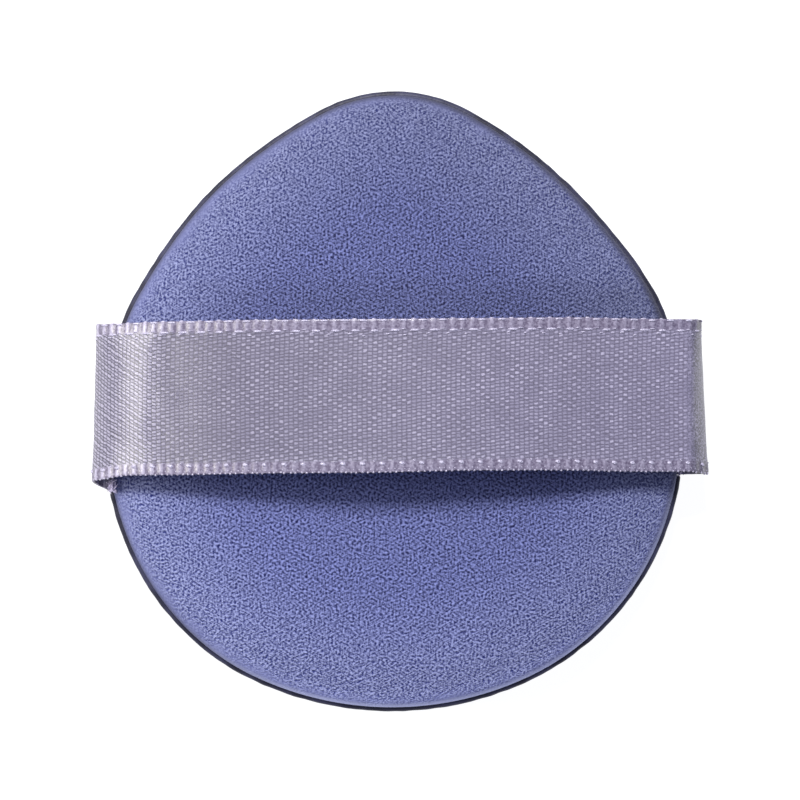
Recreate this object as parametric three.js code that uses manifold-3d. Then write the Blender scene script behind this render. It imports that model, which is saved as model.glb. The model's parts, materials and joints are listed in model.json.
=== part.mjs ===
// Drop-shaped powder puff with a ribbon finger strap, in millimetres, +Z up.
// The puff lies on its powder face. The point of the drop is towards +Y, and the origin is
// at the bottom centre of the whole object's box.
import * as THREE from 'three';
import { mergeVertices } from 'three/addons/utils/BufferGeometryUtils.js';
import Module from 'manifold-3d';

const wasm = await Module();
wasm.setup();

// Pad
const PAD_LENGTH = 62;
const PAD_WIDTH = 58.2;
const SEAM_HEIGHT = 4.3;
const SHOULDER_RISE = 3.5;
const CROWN_RISE = 1.2;
const SKIN = 1.2;
const GLUE_FILM = 0.2;
const SEAM_WIDTH = 2.2;
const LINING_ROLL = 6.8;
const CORE_CLEARANCE = 0.3;
const WELD_WIDTH = 0.45;
const WELD_HALF_HEIGHT = 0.4;

// Ribbon strap
const RIBBON_WIDTH = 15;
const RIBBON_THICKNESS = 0.3;
const SELVEDGE_WIDTH = 1.1;
const SELVEDGE_RAISE = 0.12;
const RIBBON_TOWARDS_TIP = 0.55;
const LEFT_OVERHANG = 1;
const RIGHT_OVERHANG = 1.85;
const FINGER_ROOM = 4.6;
const ARCH_RISE = 5.8;
const SLOT_SIDE_CLEARANCE = 0.3;
const LEFT_TAIL_SLIP = 2;
const RIGHT_TAIL_SLIP = 0.5;

// The drop outline as tangent arcs from the tip down one side to the base. Each heading is the
// share of a half turn where an arc ends, and each radius is a share of the half width. The last
// arc runs to the base, and its radius closes the outline on the centre line.
const ARC_HEADING_SHARES = [0.145, 0.325, 0.4, 0.867, 1];
const ARC_RADIUS_SHARES = [0.6, 1.63, 0.7, 0.92];

// Share of a quarter turn that the back's edge rolls through before its crown
const BACK_TURN_SHARE = 0.66;

// Shares of the seam that the ribbon's tails fill, and of the overhang and height that its bends
// fill. The tails have slipped towards the base, and the folds by a share of that.
const TAIL_GRIP_SHARE = 0.75;
const LOWER_BEND_SHARE = 0.75;
const LEFT_UPPER_BEND_SHARE = 0.92;
const RIGHT_UPPER_BEND_SHARE = 0.4;
const LEFT_FOLD_SLANT_SHARE = 0.27;
const RIGHT_FOLD_SLANT_SHARE = 0.47;
const FOLD_SLIP_SHARE = 0.4;

// Across the ribbon, from edge to middle: shares of the selvedge's width and of its raise
const SELVEDGE_PLACE_SHARES = [0, 0.5, 1];
const SELVEDGE_RAISE_SHARES = [0.4, 1, 0];

// How far a cutting box runs past what it cuts
const CUT_OVERRUN = 1;

// Numbers of steps, and the places of the crown's rings as shares of the way out from the middle
const OUTLINE_STEPS = 72;
const ROLL_STEPS = 7;
const LINER_STEPS = 5;
const CROWN_RING_SHARES = [0.8, 0.55, 0.28];
const LOWER_BEND_STEPS = 5;
const UPPER_BEND_STEPS = 8;
const HALF_ARCH_STEPS = 8;

const FOAM = { color: 0x7a80b6, roughness: 0.92, metalness: 0 };
const CORE_FOAM = { color: 0x9a9ec4, roughness: 0.95, metalness: 0 };
const FUSED_FOAM = { color: 0x2c2d4a, roughness: 0.6, metalness: 0 };
const HOT_MELT = { color: 0xd8d4c8, roughness: 0.5, metalness: 0 };
const SATIN = { color: 0x9a93ad, roughness: 0.45, metalness: 0 };

// Each arc of the unit outline, with its start point, radius and headings.
function unitArcs() {
  const arcs = [];
  let x = 0;
  let y = 0;
  let from = 0;
  ARC_HEADING_SHARES.forEach((share, i) => {
    const to = share * Math.PI;
    const radius = ARC_RADIUS_SHARES[i] ?? x / Math.sin(from);
    arcs.push({ x, y, radius, from, to });
    x += radius * (Math.sin(to) - Math.sin(from));
    y -= radius * (Math.cos(from) - Math.cos(to));
    from = to;
  });
  return arcs;
}

function unitPoint(arcs, heading) {
  const arc = arcs.find((a) => heading <= a.to) ?? arcs[arcs.length - 1];
  return new THREE.Vector2(
    arc.x + arc.radius * (Math.sin(heading) - Math.sin(arc.from)),
    arc.y - arc.radius * (Math.cos(arc.from) - Math.cos(heading)),
  );
}

// The rim of the pad as points with outward normals, counter-clockwise seen from +Z, centred on
// the outline's own box.
function makeRim() {
  const arcs = unitArcs();
  const widest = unitPoint(arcs, Math.PI / 2).x;
  const lowest = unitPoint(arcs, Math.PI).y;
  const stretch = new THREE.Vector2(PAD_WIDTH / 2 / widest, PAD_LENGTH / -lowest);
  return Array.from({ length: OUTLINE_STEPS }, (_, i) => {
    const turn = (i / OUTLINE_STEPS) * 2 * Math.PI;
    const side = turn < Math.PI ? -1 : 1;
    const heading = turn < Math.PI ? turn : 2 * Math.PI - turn;
    const point = unitPoint(arcs, heading).multiply(stretch);
    const normal = new THREE.Vector2(Math.sin(heading), Math.cos(heading)).divide(stretch).normalize();
    return {
      x: side * Math.max(point.x, 0),
      y: point.y + PAD_LENGTH / 2,
      nx: side * normal.x,
      ny: normal.y,
    };
  });
}

const rim = makeRim();

// How far inside the rim the skins' rolled edge ends
const edgeRoll = SEAM_WIDTH + LINING_ROLL;

// A ring of points at the rim, moved inwards by inset and then drawn towards the middle.
function ring(inset, z, drawShare = 1) {
  return rim.map((p) => [
    (p.x - p.nx * inset) * drawShare,
    (p.y - p.ny * inset) * drawShare,
    typeof z === 'function' ? z(drawShare) : z,
  ]);
}

function geometryOf(points, triangles) {
  const geometry = new THREE.BufferGeometry();
  geometry.setAttribute('position', new THREE.Float32BufferAttribute(points.flat(), 3));
  geometry.setIndex(triangles.flat());
  return geometry;
}

// A closed body from rings in order, outwards and over: the first and last rings are closed by a
// fan of triangles to a middle point at the given heights.
function bodyOfRings(rings, startHeight, endHeight) {
  const count = OUTLINE_STEPS;
  const points = [[0, 0, startHeight], ...rings.flat(), [0, 0, endHeight]];
  const last = points.length - 1;
  const triangles = [];
  for (let i = 0; i < count; i += 1) {
    const next = (i + 1) % count;
    triangles.push([0, 1 + next, 1 + i]);
    for (let r = 0; r + 1 < rings.length; r += 1) {
      const a = 1 + r * count;
      const b = a + count;
      triangles.push([a + i, a + next, b + next], [a + i, b + next, b + i]);
    }
    const top = 1 + (rings.length - 1) * count;
    triangles.push([last, top + i, top + next]);
  }
  return geometryOf(points, triangles);
}

// A closed ring-shaped body: the rings run round its section and the last joins the first.
function bodyOfSection(rings) {
  const count = OUTLINE_STEPS;
  const triangles = [];
  rings.forEach((_, r) => {
    const a = r * count;
    const b = ((r + 1) % rings.length) * count;
    for (let i = 0; i < count; i += 1) {
      const next = (i + 1) % count;
      triangles.push([a + i, a + next, b + next], [a + i, b + next, b + i]);
    }
  });
  return geometryOf(rings.flat(), triangles);
}

// Rings of a roll from (startInset, startZ), upright there, to (endInset, endZ). It is level there
// when it turns the whole quarter, and otherwise still climbs.
function roll(startInset, startZ, endInset, endZ, steps, turnShare = 1) {
  const last = (turnShare * Math.PI) / 2;
  return Array.from({ length: steps + 1 }, (_, i) => {
    const angle = (i / steps) * last;
    const inset = startInset + ((endInset - startInset) * (1 - Math.cos(angle))) / (1 - Math.cos(last));
    return ring(inset, startZ + ((endZ - startZ) * Math.sin(angle)) / Math.sin(last));
  });
}

// Heights of the back's crown over its shoulder, by the share of the way from the middle
const shoulderHeight = SEAM_HEIGHT + SHOULDER_RISE;
const backHeight = shoulderHeight + CROWN_RISE;
const crownHeight = (depth) => (share) => backHeight - depth - CROWN_RISE * share * share;
const crownRings = (depth) => CROWN_RING_SHARES.map((share) => ring(edgeRoll, crownHeight(depth), share));

function toManifold(geometry) {
  const bare = geometry.clone();
  bare.deleteAttribute('normal');
  bare.deleteAttribute('uv');
  const merged = mergeVertices(bare);
  return new wasm.Manifold(new wasm.Mesh({
    numProp: 3,
    vertProperties: new Float32Array(merged.attributes.position.array),
    triVerts: new Uint32Array(merged.index.array),
  }));
}

function fromManifold(solid) {
  const mesh = solid.getMesh();
  const geometry = new THREE.BufferGeometry();
  geometry.setAttribute('position', new THREE.BufferAttribute(mesh.vertProperties, 3));
  geometry.setIndex(new THREE.BufferAttribute(mesh.triVerts, 1));
  return geometry;
}

function box(low, high) {
  const size = high.map((value, i) => value - low[i]);
  const geometry = new THREE.BoxGeometry(...size);
  return toManifold(geometry.translate(...low.map((value, i) => value + size[i] / 2)));
}

// Powder-face skin: a dish with a flat floor and a rolled edge that ends in the seam.
function frontSkin() {
  const outside = roll(WELD_WIDTH, SEAM_HEIGHT - WELD_HALF_HEIGHT, edgeRoll, 0, ROLL_STEPS).reverse();
  const inside = roll(SEAM_WIDTH, SEAM_HEIGHT, edgeRoll, SKIN, LINER_STEPS);
  return bodyOfRings([...outside, ring(WELD_WIDTH, SEAM_HEIGHT), ...inside], 0, SKIN);
}

// Strap-side skin: the same dish turned over and crowned, with a shallow slot for each ribbon tail.
function backSkin() {
  const liner = shoulderHeight - SKIN;
  const weldTop = SEAM_HEIGHT + WELD_HALF_HEIGHT;
  const inside = roll(SEAM_WIDTH, SEAM_HEIGHT, edgeRoll, liner, LINER_STEPS, BACK_TURN_SHARE).reverse();
  const outside = roll(WELD_WIDTH, weldTop, edgeRoll, shoulderHeight, ROLL_STEPS, BACK_TURN_SHARE);
  const ceiling = crownRings(SKIN).reverse();
  const rings = [...ceiling, ...inside, ring(WELD_WIDTH, SEAM_HEIGHT), ...outside, ...crownRings(0)];
  const whole = toManifold(bodyOfRings(rings, backHeight - SKIN, backHeight));
  return fromManifold(whole.subtract(ribbonSlot()));
}

// Hot-melt film on the flat floor of the front skin
function frontGlueFilm() {
  const rings = [ring(edgeRoll, SKIN), ring(edgeRoll, SKIN + GLUE_FILM)];
  return bodyOfRings(rings, SKIN, SKIN + GLUE_FILM);
}

// Hot-melt film under the crown of the back skin
function backGlueFilm() {
  const under = SKIN + GLUE_FILM;
  const bottom = [...crownRings(under).reverse(), ring(edgeRoll, shoulderHeight - under)];
  const top = [ring(edgeRoll, shoulderHeight - SKIN), ...crownRings(SKIN)];
  return bodyOfRings([...bottom, ...top], backHeight - under, backHeight - SKIN);
}

// Sponge pad: flat where it is glued to the front skin, crowned where it is glued to the back.
function foamCore() {
  const floor = SKIN + GLUE_FILM;
  const ceiling = shoulderHeight - SKIN - GLUE_FILM;
  const widest = SEAM_WIDTH + CORE_CLEARANCE;
  const bulgeStart = edgeRoll + CORE_CLEARANCE;
  const lower = roll(widest, SEAM_HEIGHT, bulgeStart, floor, LINER_STEPS).reverse();
  const upper = roll(widest, SEAM_HEIGHT, bulgeStart, ceiling, LINER_STEPS, BACK_TURN_SHARE);
  const crown = crownRings(SKIN + GLUE_FILM);
  return bodyOfRings([...lower, ...upper.slice(1), ...crown], floor, backHeight - SKIN - GLUE_FILM);
}

// The ribbon's edges across the pad, and the half width of the rim at any place across it
const ribbonTop = RIBBON_TOWARDS_TIP + RIBBON_WIDTH / 2;
const ribbonBottom = RIBBON_TOWARDS_TIP - RIBBON_WIDTH / 2;
const rimRight = rim.filter((p) => p.x >= 0).sort((a, b) => a.y - b.y);

function rimHalfWidthAt(y) {
  const above = Math.max(1, rimRight.findIndex((p) => p.y >= y));
  const [low, high] = [rimRight[above - 1], rimRight[above]];
  return low.x + ((high.x - low.x) * (y - low.y)) / (high.y - low.y);
}

// How far from the middle the ribbon folds, outside the rim. The fold line is slanted, and follows
// part of the rim's own slant.
function foldReach(y, overhang, slantShare) {
  const slant = (rimHalfWidthAt(ribbonTop) - rimHalfWidthAt(ribbonBottom)) / RIBBON_WIDTH;
  const middle = rimHalfWidthAt(RIBBON_TOWARDS_TIP) + overhang;
  return middle + slantShare * slant * (y - RIBBON_TOWARDS_TIP);
}

// Where each tail leaves room in the seam, from its lower to its upper edge. The two sides overlap
// in the middle of the pad and reach past its rim.
const seamReach = PAD_WIDTH / 2 + CUT_OVERRUN;
const tailRooms = [
  { from: -seamReach, to: CUT_OVERRUN, slip: LEFT_TAIL_SLIP },
  { from: -CUT_OVERRUN, to: seamReach, slip: RIGHT_TAIL_SLIP },
].map(({ from, to, slip }) => ({
  from,
  to,
  low: ribbonBottom - SLOT_SIDE_CLEARANCE - slip,
  high: ribbonTop + SLOT_SIDE_CLEARANCE - slip,
}));

// The space for the ribbon's tails between the two skins
function ribbonSlot() {
  const top = SEAM_HEIGHT + RIBBON_THICKNESS;
  const rooms = tailRooms.map((room) => box([room.from, room.low, SEAM_HEIGHT], [room.to, room.high, top]));
  return rooms[0].add(rooms[1]);
}

// Fused bead round the seam, as far as the given span of each side. Its section has a flat back
// against the skins and a rounded nose.
function rimWeld(span) {
  const under = roll(0, SEAM_HEIGHT, WELD_WIDTH, SEAM_HEIGHT - WELD_HALF_HEIGHT, LINER_STEPS);
  const over = roll(0, SEAM_HEIGHT, WELD_WIDTH, SEAM_HEIGHT + WELD_HALF_HEIGHT, LINER_STEPS);
  const bead = toManifold(bodyOfSection([...under.reverse(), ...over.slice(1)]));
  const drop = WELD_HALF_HEIGHT + CUT_OVERRUN;
  const [left, right] = tailRooms.map((room) => {
    const [low, high] = span(room);
    return box([room.from, low, SEAM_HEIGHT - drop], [room.to, high, SEAM_HEIGHT + drop]);
  });
  return fromManifold(bead.intersect(left.add(right)));
}

const padReach = PAD_LENGTH / 2 + CUT_OVERRUN;
const tipWeld = () => rimWeld((room) => [room.high, padReach]);
const roundWeld = () => rimWeld((room) => [-padReach, room.low]);

// Stations along the ribbon's outer face on one side of the pad, from the tail's end in the seam
// to the top of the arch. Each has its reach from the middle, its place along the pad, its height,
// the direction to the ribbon's inner face, and whether the tail is pressed flat there.
function sideStations(y, { overhang, upperBendShare, slantShare, slip }) {
  const rimHere = rimHalfWidthAt(y - slip);
  const fold = foldReach(y, overhang, slantShare);
  const top = backHeight + FINGER_ROOM + RIBBON_THICKNESS;
  const archRadius = (fold * fold + ARCH_RISE * ARCH_RISE) / (2 * ARCH_RISE);
  const lowerBend = LOWER_BEND_SHARE * (fold - rimHere);
  const upperBend = upperBendShare * (top - ARCH_RISE - SEAM_HEIGHT - lowerBend);
  const slope = Math.asin((fold - upperBend) / (archRadius - upperBend));
  const bendHeight = top - archRadius * (1 - Math.cos(slope)) - upperBend * Math.cos(slope);
  const stations = [
    { reach: rimHere - TAIL_GRIP_SHARE * SEAM_WIDTH, z: SEAM_HEIGHT, inX: 0, inZ: 1, flat: true },
    { reach: rimHere, z: SEAM_HEIGHT, inX: 0, inZ: 1, flat: true },
  ].map((station) => ({ ...station, y: y - slip }));
  const addArc = (middle, height, radius, from, to, steps, slipFrom, slipTo) => {
    for (let i = 0; i <= steps; i += 1) {
      const angle = from + ((to - from) * i) / steps;
      const outX = Math.sin(angle);
      const outZ = -Math.cos(angle);
      stations.push({
        reach: middle + radius * outX,
        y: y - slip * (slipFrom + ((slipTo - slipFrom) * i) / steps),
        z: height + radius * outZ,
        inX: -outX,
        inZ: -outZ,
      });
    }
  };
  const flank = Math.PI / 2;
  const crest = Math.PI - slope;
  const lowerMiddle = SEAM_HEIGHT + lowerBend;
  addArc(fold - lowerBend, lowerMiddle, lowerBend, 0, flank, LOWER_BEND_STEPS, 1, FOLD_SLIP_SHARE);
  addArc(fold - upperBend, bendHeight, upperBend, flank, crest, UPPER_BEND_STEPS, FOLD_SLIP_SHARE, 0);
  stations.pop();
  addArc(0, top - archRadius, archRadius, crest, Math.PI, HALF_ARCH_STEPS, 0, 0);
  return stations;
}

const LEFT_END = {
  overhang: LEFT_OVERHANG,
  upperBendShare: LEFT_UPPER_BEND_SHARE,
  slantShare: LEFT_FOLD_SLANT_SHARE,
  slip: LEFT_TAIL_SLIP,
};
const RIGHT_END = {
  overhang: RIGHT_OVERHANG,
  upperBendShare: RIGHT_UPPER_BEND_SHARE,
  slantShare: RIGHT_FOLD_SLANT_SHARE,
  slip: RIGHT_TAIL_SLIP,
};

// The whole run of the ribbon at one place across it, from the left tail to the right one
function ribbonRun(y) {
  const left = sideStations(y, LEFT_END).map((s) => ({ ...s, reach: -s.reach, inX: -s.inX }));
  const right = sideStations(y, RIGHT_END).reverse();
  return [...left, ...right.slice(1)];
}

// The satin ribbon: one strip with a slightly raised selvedge along both edges.
function fingerRibbon() {
  const lanes = SELVEDGE_PLACE_SHARES.map((share, i) => ({
    depth: share * SELVEDGE_WIDTH,
    raise: SELVEDGE_RAISE_SHARES[i] * SELVEDGE_RAISE,
  }));
  const across = [
    ...lanes.map(({ depth, raise }) => ({ y: ribbonBottom + depth, raise })),
    ...lanes.map(({ depth, raise }) => ({ y: ribbonTop - depth, raise })).reverse(),
  ];
  const faces = across.map(({ y, raise }) => ribbonRun(y).map((s) => {
    const out = s.flat ? 0 : raise;
    const outer = [s.reach - s.inX * out, s.y, s.z - s.inZ * out];
    const inner = [s.reach + s.inX * RIBBON_THICKNESS, s.y, s.z + s.inZ * RIBBON_THICKNESS];
    return { outer, inner };
  }));
  const loops = faces[0].map((_, i) => [
    ...faces.map((run) => run[i].outer),
    ...faces.map((run) => run[i].inner).reverse(),
  ]);
  return stripOfLoops(loops);
}

// A closed strip from section loops with the same number of points, with flat quads at both ends.
function stripOfLoops(loops) {
  const count = loops[0].length;
  const triangles = [];
  for (let s = 0; s + 1 < loops.length; s += 1) {
    const a = s * count;
    const b = a + count;
    for (let i = 0; i < count; i += 1) {
      const next = (i + 1) % count;
      triangles.push([a + i, b + next, a + next], [a + i, b + i, b + next]);
    }
  }
  const end = (loops.length - 1) * count;
  for (let i = 0; i + 1 < count / 2; i += 1) {
    const far = count - 1 - i;
    triangles.push([i, i + 1, far - 1], [i, far - 1, far]);
    triangles.push([end + i, end + far - 1, end + i + 1], [end + i, end + far, end + far - 1]);
  }
  return geometryOf(loops.flat(), triangles);
}

function piece(name, geometry, finish) {
  const mesh = new THREE.Mesh(geometry, new THREE.MeshStandardMaterial(finish));
  mesh.name = name;
  return mesh;
}

const puff = new THREE.Group();
puff.add(
  piece('front_skin', frontSkin(), FOAM),
  piece('front_glue_film', frontGlueFilm(), HOT_MELT),
  piece('foam_core', foamCore(), CORE_FOAM),
  piece('back_glue_film', backGlueFilm(), HOT_MELT),
  piece('back_skin', backSkin(), FOAM),
  piece('rim_weld_tip', tipWeld(), FUSED_FOAM),
  piece('rim_weld_round', roundWeld(), FUSED_FOAM),
  piece('finger_ribbon', fingerRibbon(), SATIN),
);

// The loop stands out further on the right, so the pad sits a little left of the box's middle.
puff.position.x = (LEFT_OVERHANG - RIGHT_OVERHANG) / 2;

export default puff;
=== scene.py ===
"""A drop-shaped powder puff with a satin finger ribbon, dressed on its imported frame.

Sizes in the classes are in millimetres, as in the part's own source. Meshes are written in metres.
"""
import json
import logging
import math
from contextlib import contextmanager
from dataclasses import dataclass, field, replace
from enum import Enum
from itertools import zip_longest
from typing import Callable, Iterable, Iterator, Sequence

import bmesh
import bpy
import numpy as np
from bpy.types import ID, Material, NodeSocket, Object
from mathutils import Matrix, Vector, noise
from numpy import ndarray as Array

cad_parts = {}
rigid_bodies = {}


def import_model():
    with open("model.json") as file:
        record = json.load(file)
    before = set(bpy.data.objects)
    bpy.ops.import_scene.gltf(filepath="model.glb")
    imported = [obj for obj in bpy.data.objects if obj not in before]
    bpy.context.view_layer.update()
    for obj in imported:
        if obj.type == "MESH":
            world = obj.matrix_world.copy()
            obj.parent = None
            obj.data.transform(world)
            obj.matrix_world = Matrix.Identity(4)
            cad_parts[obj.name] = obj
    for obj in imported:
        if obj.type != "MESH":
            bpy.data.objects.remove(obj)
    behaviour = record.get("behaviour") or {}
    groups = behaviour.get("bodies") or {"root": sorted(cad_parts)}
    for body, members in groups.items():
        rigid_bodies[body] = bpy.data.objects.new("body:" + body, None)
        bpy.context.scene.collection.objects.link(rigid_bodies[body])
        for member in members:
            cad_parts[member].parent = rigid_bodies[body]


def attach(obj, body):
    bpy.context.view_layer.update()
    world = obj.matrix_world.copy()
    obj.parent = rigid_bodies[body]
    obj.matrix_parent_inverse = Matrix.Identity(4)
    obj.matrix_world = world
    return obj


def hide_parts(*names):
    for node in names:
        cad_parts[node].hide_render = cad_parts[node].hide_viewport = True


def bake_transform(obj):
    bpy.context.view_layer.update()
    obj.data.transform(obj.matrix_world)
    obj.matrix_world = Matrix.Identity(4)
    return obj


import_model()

log = logging.getLogger("powder_puff")
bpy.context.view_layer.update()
MM = 0.001
PHOTO_LIGHT = 1.1
Span = tuple[float, float]
Point = tuple[float, float, float]
Track = list[Point]
Colour = tuple[float, float, float, float]


class Slot(Enum):
    """Material slots of the record."""

    SKIN = "puff_skin"
    CORE = "core_sponge"
    FILM = "hot_melt_film"
    RIM = "fused_rim"
    RIBBON = "satin_ribbon"


class Body(Enum):
    """The two bodies that pieces ride on."""

    PAD = "pad"
    STRAP = "strap"


class Side(Enum):
    """The two ends of the ribbon, by the sign of x."""

    LEFT = -1
    RIGHT = 1


# Shader tools


def paint(*display: int, light: float = PHOTO_LIGHT) -> Colour:
    """A surface's own linear colour from display values.

    Args:
        display: Red, green and blue, from 0 to 255.
        light: Brightness of the light that they were seen in.

    Returns:
        The colour, with alpha 1.
    """
    shares = np.array(display) / 255
    linear = np.where(shares <= 0.04045, shares / 12.92, ((shares + 0.055) / 1.055) ** 2.4)
    return (*(linear / light).tolist(), 1.0)


def operator(operation: str, turned: bool = False) -> Callable[..., "Shade"]:
    """A method of Shade that adds a Math node.

    Args:
        operation: What the node does.
        turned: Puts the other value before the shade.

    Returns:
        The method, which takes the node's other values.
    """
    def method(self: "Shade", *others: "Shade | float") -> "Shade":
        """Add the node for this shade and the other values."""
        values = (*others, self) if turned else (self, *others)
        return self.bench.node("ShaderNodeMath", {"operation": operation}, dict(enumerate(values)))
    return method


class Shade:
    """A shader socket in an expression. Each operator adds its Math node."""

    __add__ = __radd__ = operator("ADD")
    __sub__ = operator("SUBTRACT")
    __rsub__ = operator("SUBTRACT", turned=True)
    __mul__ = __rmul__ = operator("MULTIPLY")
    __truediv__ = operator("DIVIDE")
    __mod__ = operator("FLOORED_MODULO")
    __abs__ = operator("ABSOLUTE")
    floor = operator("FLOOR")
    sign = operator("SIGN")
    cosine = operator("COSINE")
    highest = operator("MAXIMUM")

    def __init__(self, bench: "Bench", socket: NodeSocket) -> None:
        """Wrap a socket of a material that is being made."""
        self.bench = bench
        self.socket = socket

    def wave(self, period: float) -> "Shade":
        """A cosine wave from 0 to 1 with its crest at 0."""
        return (self * (2 * math.pi / period)).cosine() * 0.5 + 0.5

    def ease(self, low: float, high: float) -> "Shade":
        """Smooth step from 0 at low to 1 at high.

        Args:
            low: Where it is 0.
            high: Where it is 1. It may be the lesser of the two.

        Returns:
            The step.
        """
        turned = low > high
        start, end = (high, low) if turned else (low, high)
        made = self.bench.node(
            "ShaderNodeMapRange", {"interpolation_type": "SMOOTHSTEP"},
            {"Value": self, "From Min": start, "From Max": end},
        )
        return 1 - made if turned else made

    def sibling(self, name: str) -> "Shade":
        """Another output of the same node."""
        return Shade(self.bench, self.socket.node.outputs[name])


class Bench:
    """Makes the nodes of one material."""

    def __init__(self, name: str) -> None:
        """Start an empty node tree.

        Args:
            name: The material's name.
        """
        self.material = bpy.data.materials.new(name)
        self.material.use_nodes = True
        self.tree = self.material.node_tree
        self.tree.nodes.clear()

    def node(
        self, kind: str, settings: dict | None = None, sockets: dict | None = None, output: int | str = 0,
    ) -> Shade:
        """Add a node.

        Args:
            kind: The node's type.
            settings: Its own settings, set first.
            sockets: Values or links of its inputs, by name or number.
            output: The output that is returned.

        Returns:
            The chosen output.
        """
        made = self.tree.nodes.new(kind)
        for key, value in (settings or {}).items():
            setattr(made, key, value)
        for key, value in (sockets or {}).items():
            if isinstance(value, Shade):
                self.tree.links.new(made.inputs[key], value.socket)
            else:
                made.inputs[key].default_value = value
        return Shade(self, made.outputs[output])

    def mix(self, factor: "Shade | float", low: "Shade | Colour", high: "Shade | Colour") -> Shade:
        """Colour from low to high by a factor."""
        return self.node("ShaderNodeMix", {"data_type": "RGBA"}, {0: factor, 6: low, 7: high}, 2)

    def place_mm(self) -> Shade:
        """The place on the object, in millimetres."""
        return self.scale(self.node("ShaderNodeTexCoord", output="Object"), 1 / MM)

    def split(self, vector: Shade) -> tuple[Shade, Shade]:
        """The x and the y of a vector."""
        x = self.node("ShaderNodeSeparateXYZ", {}, {0: vector})
        return x, x.sibling("Y")

    def pair(self, x: Shade, y: Shade) -> Shade:
        """A vector of x and y."""
        return self.node("ShaderNodeCombineXYZ", {}, {0: x, 1: y})

    def scale(self, vector: Shade, factor: "Shade | float") -> Shade:
        """A vector or colour times a number."""
        return self.node("ShaderNodeVectorMath", {"operation": "SCALE"}, {0: vector, "Scale": factor})

    def grain(self, place: Shade, size: float, detail: float = 0.0) -> Shade:
        """Noise in three dimensions.

        Args:
            place: Where it is read, in millimetres.
            size: Distance between its features.
            detail: Finer layers that are added.

        Returns:
            A value from 0 to 1.
        """
        return self.node(
            "ShaderNodeTexNoise", {"noise_dimensions": "3D"},
            {"Vector": place, "Scale": 1 / size, "Detail": detail, "Roughness": 0.5},
        )

    def attribute(self, name: str) -> Shade:
        """A number that the mesh keeps at its vertices."""
        return self.node("ShaderNodeAttribute", {"attribute_name": name}, output="Fac")

    def bump(self, height: Shade, depth: float) -> Shade:
        """Normals bent by a height from 0 to 1 that stands for depth millimetres."""
        return self.node("ShaderNodeBump", {}, {"Height": height, "Strength": 1.0, "Distance": depth * MM})

    def finish(self, sockets: dict) -> Material:
        """Close the material with a Principled shader.

        Args:
            sockets: Values or links of the shader's inputs.

        Returns:
            The material.
        """
        surface = self.node("ShaderNodeBsdfPrincipled", {}, sockets)
        end = self.tree.nodes.new("ShaderNodeOutputMaterial")
        self.tree.links.new(end.inputs["Surface"], surface.socket)
        return self.material


# Finishes


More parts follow.
